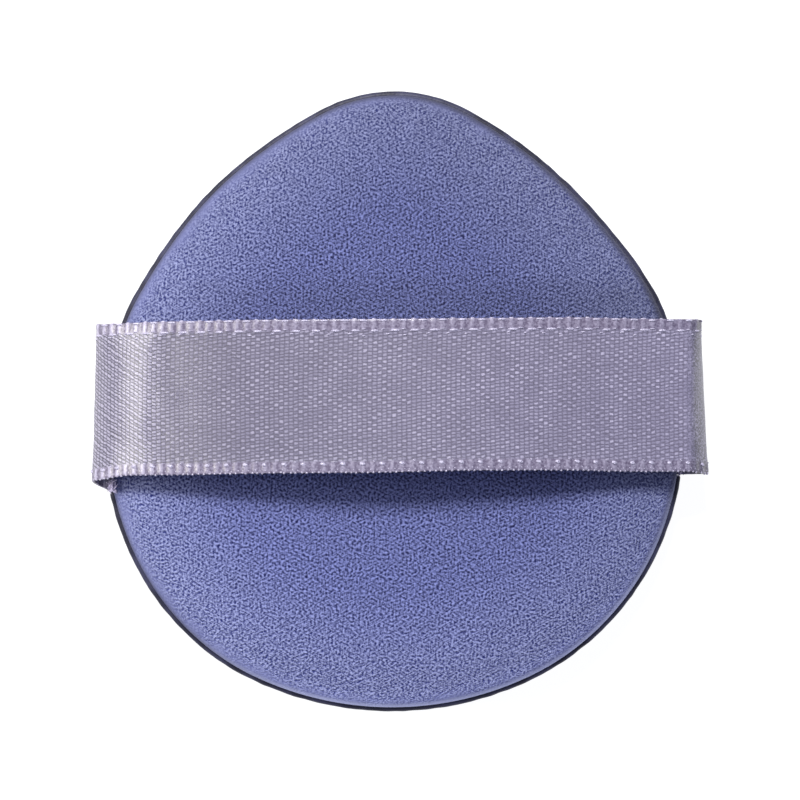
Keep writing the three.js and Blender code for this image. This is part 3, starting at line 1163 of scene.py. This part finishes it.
@dataclass
class PadCore(PuffPart):
    """The sponge between the skins and the film that glues it to each."""

    sponge: Material
    film: Material
    around: int = 144
    crown_steps: int = 14
    bulge_steps: int = 10
    film_rings: int = 9

    def build(self) -> None:
        """Make the sponge and both films."""
        s = self.section
        floor = s.skin + s.film
        ceiling = s.shoulder_height - s.skin - s.film
        widest = s.seam_width + s.core_clearance
        bulge = s.edge_roll + s.core_clearance
        lower = s.roll((widest, s.seam_height), (bulge, floor), self.bulge_steps)
        upper = s.roll((widest, s.seam_height), (bulge, ceiling), self.bulge_steps, s.back_turn_share)
        track = [*reversed(lower), *upper[1:], *s.crown_track(floor, self.crown_steps)]
        core = PadBody(self.outline, self.around, track, floor, s.back_height - floor).build("sponge_core")
        stand_for(core, "foam_core", self.sponge)
        self.lay_film("front_film", "front_glue_film", lambda share: s.skin)
        self.lay_film("back_film", "back_glue_film", lambda share: s.crown(s.skin + s.film, share))

    def lay_film(self, name: str, node: str, height: Callable[[float], float]) -> None:
        """A film cut to the drop, drawn in ring by ring and given its thickness.

        Args:
            name: The piece's name.
            node: The node that it stands for.
            height: Height of its underside by the share of the way out from the middle.
        """
        rim, normals = self.outline.rim(self.around)
        edge = rim - normals * self.section.edge_roll
        radius = MM * self.outline.width / 2
        piece = primitive(name, bpy.ops.mesh.primitive_circle_add, vertices=self.around, radius=radius)
        write_points(piece, np.column_stack([edge, np.full(self.around, height(1.0))]) * MM)
        shares = [1 - i / self.film_rings for i in range(self.film_rings)]
        with editing():
            for outer, share in zip(shares, shares[1:]):
                bpy.ops.mesh.extrude_edges_move()
                bpy.ops.transform.resize(value=(share / outer, share / outer, 1.0), center_override=(0, 0, 0))
                bpy.ops.transform.translate(value=(0, 0, MM * (height(share) - height(outer))))
            bpy.ops.mesh.edge_face_add()
            bpy.ops.mesh.poke()
        if piece.data.polygons[0].normal.z < 0:
            piece.data.flip_normals()
        apply_modifier(piece, "SOLIDIFY", thickness=self.section.film * MM, offset=1.0)
        piece.data.transform(Matrix.Translation((self.outline.middle_x * MM, 0, 0)))
        stand_for(piece, node, self.film)


@dataclass
class FusedRim(PuffPart):
    """The dark bead where the skins are pressed and cut, parted by the ribbon's tails.

    The starts are where each part begins on the left and on the right, along the puff.
    """

    finish: Material
    around: int = 420
    section_points: int = 12
    tip_starts: Span = (6.35, 7.85)
    base_starts: Span = (-9.0, -7.4)
    inner_bulge: float = 0.12
    crimp: float = 0.05
    crimp_size: float = 1.1
    crimp_seed: float = 5.0

    def build(self) -> None:
        """Make the bead of the tip and that of the round end."""
        rim, normals = self.outline.rim(self.around)
        left = rim[:, 0] < 0
        tip = rim[:, 1] > np.where(left, *self.tip_starts)
        base = rim[:, 1] < np.where(left, *self.base_starts)
        for numbers, starts in ((tip, self.tip_starts), (base, self.base_starts)):
            self.reach_start(rim, normals, numbers, starts)
        self.bead("tip_bead", "rim_weld_tip", rim, normals, tip)
        self.bead("round_bead", "rim_weld_round", rim, normals, base)

    @staticmethod
    def reach_start(rim: Array, normals: Array, part: Array, starts: Span) -> None:
        """Move a part's two end points along the rim to just where the bead starts.

        Args:
            rim: Points of the whole rim, changed in place.
            normals: Their outward normals, changed in place.
            part: Which points the bead runs over.
            starts: Where it starts on the left and on the right, along the puff.
        """
        step = np.diff(part.astype(int), append=int(part[0]))
        for first in np.flatnonzero(step):
            second = (first + 1) % len(rim)
            inner, outer = (first, second) if part[first] else (second, first)
            start = starts[0] if rim[inner, 0] < 0 else starts[1]
            share = (start - rim[inner, 1]) / (rim[outer, 1] - rim[inner, 1])
            rim[inner] += (rim[outer] - rim[inner]) * share
            normals[inner] += (normals[outer] - normals[inner]) * share

    def section_at(self, point: Array, normal: Array) -> Array:
        """Section of the bead at one place of the rim.

        Args:
            point: The place.
            normal: The rim's outward normal there.

        Returns:
            One row for each point of the section, in millimetres.
        """
        s = self.section
        turns = np.linspace(0, 2 * math.pi, self.section_points, endpoint=False)
        nose = np.cos(turns)
        inset = np.where(nose > 0, s.weld_width * (1 - nose), s.weld_width - nose * self.inner_bulge)
        flat = point - normal * inset[:, None]
        rise = np.sin(turns) * s.weld_half_height
        return np.column_stack([flat[:, 0] + self.outline.middle_x, flat[:, 1], s.seam_height + rise])

    def bead(self, name: str, node: str, rim: Array, normals: Array, part: Array) -> None:
        """Draw a bead along part of the rim by extruding its section.

        Args:
            name: The piece's name.
            node: The node that it stands for.
            rim: Points of the whole rim.
            normals: Their outward normals.
            part: Which points the bead runs over.
        """
        numbers = np.flatnonzero(part)
        breaks = np.flatnonzero(np.diff(numbers) > 1)
        if len(breaks):
            numbers = np.concatenate([numbers[breaks[0] + 1:], numbers[:breaks[0] + 1]])
        piece = primitive(
            name, bpy.ops.mesh.primitive_circle_add,
            vertices=self.section_points, radius=MM * self.section.weld_half_height, fill_type="NGON",
        )
        write_points(piece, self.section_at(rim[numbers[0]], normals[numbers[0]]) * MM)
        with editing():
            for number in numbers[1:]:
                bpy.ops.mesh.extrude_region_move()
                edit = bmesh.from_edit_mesh(piece.data)
                chosen = [vertex for vertex in edit.verts if vertex.select]
                for vertex, place in zip(chosen, self.section_at(rim[number], normals[number]) * MM):
                    vertex.co = place
                bmesh.update_edit_mesh(piece.data)
            bpy.ops.mesh.select_all(action="SELECT")
            bpy.ops.mesh.normals_make_consistent(inside=False)
        apply_modifier(piece, "SUBSURF", levels=1, render_levels=1)
        points = read_points(piece) / MM
        marks = ripple(points, self.crimp_size, self.crimp_seed)[:, None] * self.crimp
        write_points(piece, (points + read_points(piece, "normal") * marks) * MM)
        select_only(piece)
        bpy.ops.object.shade_smooth()
        stand_for(piece, node, self.finish)


@dataclass(frozen=True)
class RibbonEnd:
    """How the ribbon folds over one side of the rim.

    overhang is how far outside the rim it folds, and slant_share how much the fold follows the rim's slant.
    bend_run is how far inside the fold the bend starts, and flare how much further at the upper edge.
    roundness is 0 for a straight fall and 1 for a sharp corner, and buckle is the height of the bend's
    bumps. Each pair is at the lower and the upper edge: lean is how far the side face's top lies inside its
    foot, and the drops are how far the ribbon has slipped towards the base.
    """

    side: Side
    overhang: float
    bend_run: float
    roundness: float
    flare: float
    slant_share: float
    lean: Span
    fold_drop: Span
    seam_drop: Span
    buckle: float


@dataclass(frozen=True)
class ThreadRow:
    """A row of short threads along a selvedge.

    across is measured from the ribbon's lower edge. stagger is a share of the pitch, turn is each thread's
    slant in degrees, and wander is how far chance moves it.
    """

    across: float
    length: float
    width: float
    pitch: float
    stagger: float = 0.0
    turn: float = 0.0
    wander: float = 0.1


@dataclass
class ThreadWork:
    """Short threads laid on the ribbon's shaped face, and tufts of loose ones at its cut tails.

    The face is given by its grid of points, by each point's place along the ribbon, and by the lanes' places
    across it. The yaws are in half turns and the tilts in radians. Each tuft has a middle, a spread and a
    number of threads.
    """

    grid: Array
    along: Array
    lanes: Array
    rib_pitch: float
    bright: Material
    loose: Material
    height: float = 0.16
    tuck: float = 0.05
    tucked_from: float = 0.4
    ahead: float = 0.3
    end_margin: float = 3.0
    across_chance: float = 0.4
    length_chance: float = 0.3
    fray_width: float = 0.09
    fray_lengths: Span = (0.4, 0.9)
    fray_yaws: Span = (0.15, 0.85)
    fray_tilts: Span = (-1.1, 1.1)
    seed: int = 7
    tufts: tuple[tuple[Point, Point, int], ...] = (
        ((-28.45, -8.5, 6.0), (0.26, 0.3, 0.5), 90),
        ((28.1, -7.15, 4.7), (0.16, 0.1, 0.08), 12),
    )

    def seat(self, along: float, across: float, lift: float) -> Matrix:
        """Place on the outer face, with x along the ribbon and z outwards.

        Args:
            along: Distance from the top of the arch.
            across: Distance from the lower edge.
            lift: Height over the face.

        Returns:
            The place as a matrix, in metres.
        """
        column = int(np.clip(np.searchsorted(self.lanes, across), 1, len(self.lanes) - 1))
        low, high = self.grid[:, column - 1], self.grid[:, column]
        share = (across - self.lanes[column - 1]) / (self.lanes[column] - self.lanes[column - 1])
        line = low * (1 - share) + high * share
        run = self.along[:, column]
        point = rows_at(along, run, line)
        forth = Vector(rows_at(along + self.ahead, run, line) - point).normalized()
        out = forth.cross(Vector(rows_at(along, run, high - low))).normalized()
        place = Matrix((forth, out.cross(forth), out)).transposed().to_4x4()
        place.translation = (Vector(point) + out * lift) * MM
        return place

    @staticmethod
    def stamp(pattern: Object, places: Iterable[Matrix], name: str, finish: Material) -> Object:
        """Copy a modelled thread to many places and join the copies.

        Args:
            pattern: The thread as modelled, at the origin.
            places: Where each copy goes.
            name: Name of the joined piece.
            finish: Its finish.

        Returns:
            The joined piece.
        """
        copies = []
        for place in places:
            copy = pattern.copy()
            copy.data = pattern.data.copy()
            copy.data.transform(place)
            bpy.context.scene.collection.objects.link(copy)
            copies.append(copy)
        bpy.data.objects.remove(pattern)
        select_only(*copies)
        bpy.ops.object.join()
        piece = bpy.context.object
        piece.name = piece.data.name = name
        bpy.ops.object.shade_smooth()
        dress(piece, finish)
        return piece

    def thread_pattern(self, length: float, width: float, height: float, tuck: float) -> Object:
        """One short float of thread, rounded, with both ends tucked down.

        Args:
            length: Its length along x.
            width: Its width.
            height: Its height.
            tuck: How far its ends go down.

        Returns:
            The thread at the origin.
        """
        sphere = bpy.ops.mesh.primitive_uv_sphere_add
        pattern = primitive("thread", sphere, segments=8, ring_count=6, radius=MM / 2)
        with editing():
            bpy.ops.transform.rotate(value=math.pi / 2, orient_axis="Y", center_override=(0, 0, 0))
            bpy.ops.transform.resize(value=(length, width, height))
            edit = bmesh.from_edit_mesh(pattern.data)
            bpy.ops.mesh.select_all(action="DESELECT")
            for vertex in edit.verts:
                vertex.select = abs(vertex.co.x) > length * MM * self.tucked_from
            edit.select_flush_mode()
            bmesh.update_edit_mesh(pattern.data)
            bpy.ops.transform.translate(value=(0, 0, -tuck * MM))
        return pattern

    def thread_rows(self, name: str, rows: Sequence[ThreadRow], lift: float) -> Object:
        """Lay rows of short threads along the ribbon.

        Args:
            name: The piece's name.
            rows: The rows.
            lift: Height of the threads' middle over the face.

        Returns:
            All the threads as one piece.
        """
        pattern = self.thread_pattern(1.0, 1.0, self.height, self.tuck)
        reach = float(self.along[-1].min()) - self.end_margin
        places = []
        for row in rows:
            count = int(reach / row.pitch)
            for number in range(-count, count + 1):
                chance = noise.noise(Vector((number * 1.7, row.across * 3.1, 4.0)))
                along = (number + row.stagger) * row.pitch + chance * row.wander
                place = self.seat(along, row.across + chance * row.wander * self.across_chance, lift)
                turn = Matrix.Rotation(math.radians(row.turn), 4, "Z")
                size = Matrix.Diagonal((row.length * (1 + chance * self.length_chance), row.width, 1.0, 1.0))
                places.append(place @ turn @ size)
        return self.stamp(pattern, places, name, self.bright)

    def selvedge_floats(self) -> Object:
        """Short bright floats along both selvedges, staggered from row to row.

        Returns:
            The piece.
        """
        pitch = 2 * self.rib_pitch
        width = self.lanes[-1]
        return self.thread_rows("selvedge_floats", [
            ThreadRow(width - 0.13, 0.86, 0.24, pitch),
            ThreadRow(width - 1.13, 0.98, 0.26, pitch, -0.4),
            ThreadRow(width - 1.0, 0.55, 0.1, pitch, 0.0, 5.0),
            ThreadRow(width - 1.48, 0.46, 0.14, pitch, 0.25, 6.0, 0.9),
            ThreadRow(0.84, 0.6, 0.34, pitch, 0.0, -14.0),
            ThreadRow(1.08, 0.32, 0.12, 2 * pitch, 0.3, -45.0),
        ], 0.02)

    def edge_loops(self) -> Object:
        """Small loops where the weft turns at the lower edge, and faint ones at the upper edge.

        Returns:
            The piece.
        """
        return self.thread_rows("selvedge_loops", [
            ThreadRow(0.04, 0.34, 0.26, 0.55, 0.0, 0.0, 0.2),
            ThreadRow(0.3, 0.26, 0.16, 0.55, 0.5, -40.0, 0.4),
            ThreadRow(self.lanes[-1], 0.5, 0.18, 2 * self.rib_pitch, 0.5),
        ], -0.06)

    def frayed_ends(self) -> Object:
        """Tufts of loose thread where the cut tails go into the seam at the lower edge.

        Returns:
            The piece.
        """
        pattern = self.thread_pattern(1.0, self.fray_width, self.fray_width, 0.0)
        chance = np.random.default_rng(self.seed)
        places = []
        for middle, spread, count in self.tufts:
            for _ in range(count):
                offset = Vector(middle) + Vector(chance.normal(0.0, 1.0, 3) * spread)
                yaw = Matrix.Rotation(chance.uniform(*self.fray_yaws) * math.pi, 4, "Z")
                tilt = Matrix.Rotation(chance.uniform(*self.fray_tilts), 4, "Y")
                size = Matrix.Diagonal((chance.uniform(*self.fray_lengths), 1.0, 1.0, 1.0))
                places.append(Matrix.Translation(offset * MM) @ yaw @ tilt @ size)
        return self.stamp(pattern, places, "frayed_ends", self.loose)


@dataclass
class FingerRibbon(PuffPart):
    """The satin ribbon that arches over the back, with its selvedge threads.

    The bank is the raised selvedge, by the distance from the nearer edge. The buckles start and grow by the
    distance from the top of the arch, and end and fade by that from the tail. The sways are how far the
    ribbon strays towards the tip, by x, and lower_sway is what its lower edge adds.
    """

    satin: Material
    bright_thread: Material
    loose_thread: Material
    width: float = 15.1
    thickness: float = 0.3
    selvedge: float = 1.1
    selvedge_raise: float = 0.06
    rib_height: float = 0.05
    rib_pitch: float = 0.97
    bank_places: tuple[float, ...] = (0.0, 0.25, 0.7, 1.6)
    bank_heights: tuple[float, ...] = (0.2, 1.0, 1.0, 0.0)
    buckle_size: float = 2.6
    buckle_start: float = 21.0
    buckle_growth: float = 6.0
    buckle_end: float = 2.5
    buckle_fade: float = 2.0
    buckle_seed: float = 2.0
    towards_tip: float = 0.55
    finger_room: float = 4.6
    arch_radius: float = 68.0
    ramp_angle: float = 17.0
    tail_grip_share: float = 0.75
    lower_bend_share: float = 0.75
    sway_places: tuple[float, ...] = (-27.0, -22.0, -18.0, -14.0, -2.0, 6.0, 14.0, 18.0, 22.0, 27.0)
    sway: tuple[float, ...] = (-0.30, -0.22, -0.17, -0.10, -0.04, 0.04, 0.12, 0.16, 0.07, 0.03)
    lower_sway: tuple[float, ...] = (-0.04, -0.06, -0.02, 0.0, 0.06, 0.17, 0.11, 0.04, 0.0, 0.0)
    flare_start: float = 0.78
    low_steps: int = 24
    bend_steps: int = 60
    ramp_steps: int = 40
    arch_steps: int = 200
    slip_share: float = 0.8
    stiff_height: float = 6.2
    steps_along: int = 600
    lanes_selvedge: int = 10
    lanes_body: int = 34
    ends: tuple[RibbonEnd, RibbonEnd] = (
        RibbonEnd(Side.LEFT, 1.0, 5.6, 0.42, 2.2, 0.27, (0.0, 0.0), (0.9, 0.45), (2.0, 2.0), 0.07),
        RibbonEnd(Side.RIGHT, 1.95, 1.3, 0.6, 0.0, 0.47, (1.1, 0.3), (0.25, 0.0), (0.35, 0.5), 0.02),
    )
    grid: Array = field(init=False)
    along: Array = field(init=False)
    lanes: Array = field(init=False)

    def lane_places(self) -> Array:
        """Where the lengthwise lines run, closer together in the selvedges.

        Returns:
            Distances from the lower edge.
        """
        edge = np.linspace(0.0, self.selvedge, self.lanes_selvedge + 1)
        body = np.linspace(self.selvedge, self.width - self.selvedge, self.lanes_body + 1)
        return np.concatenate([edge, body[1:-1], self.width - edge[::-1]])

    def fold_reach(self, y: float, end: RibbonEnd) -> float:
        """Where the ribbon folds, outside the rim.

        Args:
            y: Place along the puff.
            end: The side's fold.

        Returns:
            Distance from the pad's middle.
        """
        half_width, middle, edge = self.outline.half_width, self.towards_tip, self.width / 2
        slant = (half_width(middle + edge) - half_width(middle - edge)) / self.width
        return half_width(middle) + end.overhang + end.slant_share * slant * (y - middle)

    @property
    def top(self) -> float:
        """Height of the arch's outer face."""
        return self.section.back_height + self.finger_room + self.thickness

    @property
    def slope(self) -> float:
        """Angle of the straight slope beside the arch."""
        return math.radians(self.ramp_angle)

    def ramp(self, reach: float) -> Array:
        """The slope beside the arch.

        Args:
            reach: Distance from the pad's middle.

        Returns:
            Reach and height.
        """
        start = self.arch_radius * math.sin(self.slope)
        height = self.top - self.arch_radius * (1 - math.cos(self.slope))
        return np.array([reach, height - (reach - start) * math.tan(self.slope)])

    @staticmethod
    def arc(middle: float, height: float, radius: float, angles: Array) -> Array:
        """Reach and height round a middle, by angles from straight below it."""
        return np.column_stack([middle + radius * np.sin(angles), height - radius * np.cos(angles)])

    def side_run(self, y: float, seam_drop: float, end: RibbonEnd) -> Array:
        """The outer face at one side, from the tail to the top of the arch.

        Args:
            y: Place along the puff, before the ribbon slips.
            seam_drop: How far the tail has slipped.
            end: The side's fold.

        Returns:
            Rows of reach, height and slip, which is 0 on top, 1 at the fold's foot and 2 at the seam.
        """
        seam = self.section.seam_height
        rim = self.outline.half_width(y - seam_drop)
        fold = self.fold_reach(y, end)
        lower = self.lower_bend_share * (fold - rim)
        across = (y - self.towards_tip) / self.width + 0.5
        brow = fold - end.lean[0] - (end.lean[1] - end.lean[0]) * across
        foot = np.array([fold, seam + lower])
        flare = end.flare * max(0.0, (across - self.flare_start) / (1 - self.flare_start)) ** 2
        crease = self.ramp(brow - end.bend_run - flare)
        low_pull, high_pull = (spot + (self.ramp(brow) - spot) * end.roundness for spot in (foot, crease))
        share = np.linspace(0.0, 1.0, self.bend_steps)[:, None]
        rest = 1 - share
        bend = rest ** 3 * foot + 3 * rest ** 2 * share * low_pull
        bend = bend + 3 * rest * share ** 2 * high_pull + share ** 3 * crease
        tail = np.array([[rim - self.tail_grip_share * self.section.seam_width, seam], [rim, seam]])
        low_arc = self.arc(fold - lower, seam + lower, lower, np.linspace(0.0, math.pi / 2, self.low_steps))
        radius = self.arch_radius
        incline = np.linspace(crease, self.ramp(radius * math.sin(self.slope)), self.ramp_steps)
        angles = np.linspace(math.pi - self.slope, math.pi, self.arch_steps)
        arch = self.arc(0.0, self.top - radius, radius, angles)
        path = np.vstack([tail, low_arc, bend[1:], incline[1:], arch[1:]])
        run = run_along(path)
        fold_run = run[len(tail) + len(low_arc)]
        crease_run = run[len(tail) + len(low_arc) + int(self.bend_steps * self.slip_share)]
        slip = np.interp(run, [run[1], fold_run, crease_run], [2.0, 1.0, 0.0])
        return np.column_stack([path, slip])

    def lane(self, place: float) -> Array:
        """One line along the ribbon, from the left tail to the right one.

        Args:
            place: Its distance from the lower edge.

        Returns:
            Evenly spaced points.
        """
        y = self.towards_tip - self.width / 2 + place
        across = place / self.width
        runs = []
        for end in self.ends:
            fold, seam = (low + (high - low) * across for low, high in (end.fold_drop, end.seam_drop))
            path = self.side_run(y, seam, end)
            slip = path[:, 2]
            near = np.clip(slip, 0, 1)
            eased = near * near * (3 - 2 * near)
            drop = fold * eased + (seam - fold) * np.clip(slip - 1, 0, 1)
            x = end.side.value * path[:, 0] + self.outline.middle_x
            sway = np.interp(x, self.sway_places, self.sway)
            sway += np.interp(x, self.sway_places, self.lower_sway) * (1 - across)
            sway *= 1 - eased
            runs.append(np.column_stack([x, y - drop + sway, path[:, 1]]))
        whole = np.vstack([runs[0], runs[1][::-1][1:]])
        run = run_along(whole)
        return rows_at(np.linspace(0.0, run[-1], self.steps_along + 1), run, whole)

    def normals(self) -> Array:
        """Outward normals of the grid."""
        normal = np.cross(np.gradient(self.grid, axis=0), np.gradient(self.grid, axis=1))
        return normal / np.linalg.norm(normal, axis=2, keepdims=True)

    def build(self) -> None:
        """Make the ribbon and its threads."""
        self.lanes = self.lane_places()
        self.grid = np.stack([self.lane(place) for place in self.lanes], axis=1)
        run = run_along(self.grid)
        self.along = run - run[self.steps_along // 2]
        self.shape_face()
        cloth = self.sheet_piece()
        work = ThreadWork(
            self.grid, self.along, self.lanes, self.rib_pitch, self.bright_thread, self.loose_thread,
        )
        threads = [work.selvedge_floats(), work.edge_loops()]
        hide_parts("finger_ribbon")
        for piece in [cloth, *threads]:
            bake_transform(piece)
        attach(work.frayed_ends(), Body.PAD.value)

    def shape_face(self) -> None:
        """Raise the selvedge and its ribs, and buckle the bends."""
        edge = np.minimum(self.lanes, self.width - self.lanes)
        bank = np.interp(edge, self.bank_places, self.bank_heights)
        rib = 0.5 + 0.5 * np.cos(self.along * (2 * math.pi / self.rib_pitch))
        normal = self.normals()
        lift = bank[None, :] * (self.selvedge_raise + self.rib_height * (rib - 1))
        flat = self.grid.reshape(-1, 3)
        half = np.abs(self.along).max(axis=1)[:, None] * np.ones_like(self.along)
        bend = np.clip((half - self.buckle_start) / self.buckle_growth, 0, 1)
        bend = bend * np.clip((half.max() - self.buckle_end - half) / self.buckle_fade, 0, 1)
        size = np.where(self.along < 0, self.ends[0].buckle, self.ends[1].buckle)
        bumps = ripple(flat, self.buckle_size, self.buckle_seed).reshape(half.shape)
        lift = lift + bumps * (bend * size)
        self.grid = self.grid + normal * lift[:, :, None]

    def sheet_piece(self) -> Object:
        """The cloth itself, with the weave's coordinates in millimetres as its UV map.

        Returns:
            The piece.
        """
        rows, columns, _ = self.grid.shape
        numbers = np.arange(rows * columns).reshape(rows, columns)
        corners = numbers[:-1, :-1], numbers[1:, :-1], numbers[1:, 1:], numbers[:-1, 1:]
        faces = np.column_stack([corner.ravel() for corner in corners])
        cloth = new_piece("finger_ribbon_cloth", self.grid.reshape(-1, 3), faces)
        layer = cloth.data.uv_layers.new(name="weave")
        weave = np.stack([self.along, np.broadcast_to(self.lanes, self.along.shape)], axis=2).reshape(-1, 2)
        corner = np.empty(len(cloth.data.loops), dtype=np.int32)
        cloth.data.loops.foreach_get("vertex_index", corner)
        layer.data.foreach_set("uv", weave[corner].astype(np.float32).ravel())
        apply_modifier(cloth, "SOLIDIFY", thickness=self.thickness * MM, offset=-1.0)
        dress(cloth, self.satin)
        return cloth


@dataclass(frozen=True)
class SoftBox:
    """A square soft box, by the direction that it hangs in and its power in watts."""

    name: str
    direction: Point
    size: float
    power: float
    colour: Point = (1.0, 1.0, 1.0)


@dataclass
class Studio:
    """Pale floor, soft light from above and from the left, and the camera straight above."""

    floor: Material
    camera_place: Point = (0.15, 0.11, 504.3)
    lens: float = 225.0
    sensor: float = 36.0
    boxes: tuple[SoftBox, ...] = (
        SoftBox("key_light", (-0.1, 0.57, 0.81), 210.0, 10.4),
        SoftBox("side_light", (-0.83, 0.10, 0.55), 400.0, 3.75, (1.0, 0.97, 0.86)),
    )
    distance: float = 900.0
    fill: float = 0.27
    fill_colour: Colour = (0.91, 1.0, 1.38, 1.0)

    def build(self) -> None:
        """Set the stage."""
        self.lay_floor()
        for box in self.boxes:
            self.hang(box)
        self.fill_light()
        self.place_camera()
        bpy.context.scene.view_settings.view_transform = "Standard"

    def lay_floor(self) -> None:
        """A wide plain floor just under the part."""
        floor = primitive("floor", bpy.ops.mesh.primitive_plane_add, size=6.0, location=(0, 0, -0.05 * MM))
        bpy.ops.object.transform_apply(location=True, rotation=False, scale=False)
        floor.data.materials.append(self.floor)

    def hang(self, box: SoftBox) -> None:
        """Hang a soft box that faces the puff.

        Args:
            box: The soft box.
        """
        light = bpy.data.lights.new(box.name, "AREA")
        light.shape = "SQUARE"
        light.size = box.size * MM
        light.energy = box.power
        light.color = box.colour
        lamp = link(box.name, light)
        direction = Vector(box.direction).normalized()
        lamp.location = direction * self.distance * MM
        lamp.rotation_euler = direction.to_track_quat("Z", "Y").to_euler()

    def fill_light(self) -> None:
        """Even, slightly cool light from all round."""
        world = bpy.data.worlds.new("studio_air")
        world.use_nodes = True
        sockets = world.node_tree.nodes["Background"].inputs
        sockets["Color"].default_value = self.fill_colour
        sockets["Strength"].default_value = self.fill
        bpy.context.scene.world = world

    def place_camera(self) -> None:
        """The camera looks straight down, the tip of the drop at the top of the picture."""
        lens = bpy.data.cameras.new("camera")
        lens.lens = self.lens
        lens.sensor_width = self.sensor
        lens.clip_start = 10 * MM
        camera = link("camera", lens)
        camera.location = Vector(self.camera_place) * MM
        bpy.context.scene.camera = camera


def write_sizes() -> None:
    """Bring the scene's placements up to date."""
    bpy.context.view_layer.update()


def main() -> None:
    """Build the puff's sub-assemblies in order, then the studio."""
    logging.basicConfig(level=logging.INFO, format="%(name)s %(message)s")
    outline = DropOutline()
    section = PadSection()
    PadSkins(outline, section, FoamFinish().make()).build()
    PadCore(outline, section, SpongeFinish().make(), GLUE_FILM.make()).build()
    FusedRim(outline, section, FUSED_FOAM.make()).build()
    threads = BRIGHT_THREAD.make(), LOOSE_THREAD.make()
    FingerRibbon(outline, section, SatinFinish().make(), *threads).build()
    Studio(FloorFinish().make()).build()
    write_sizes()


if __name__ == "__main__":
    main()
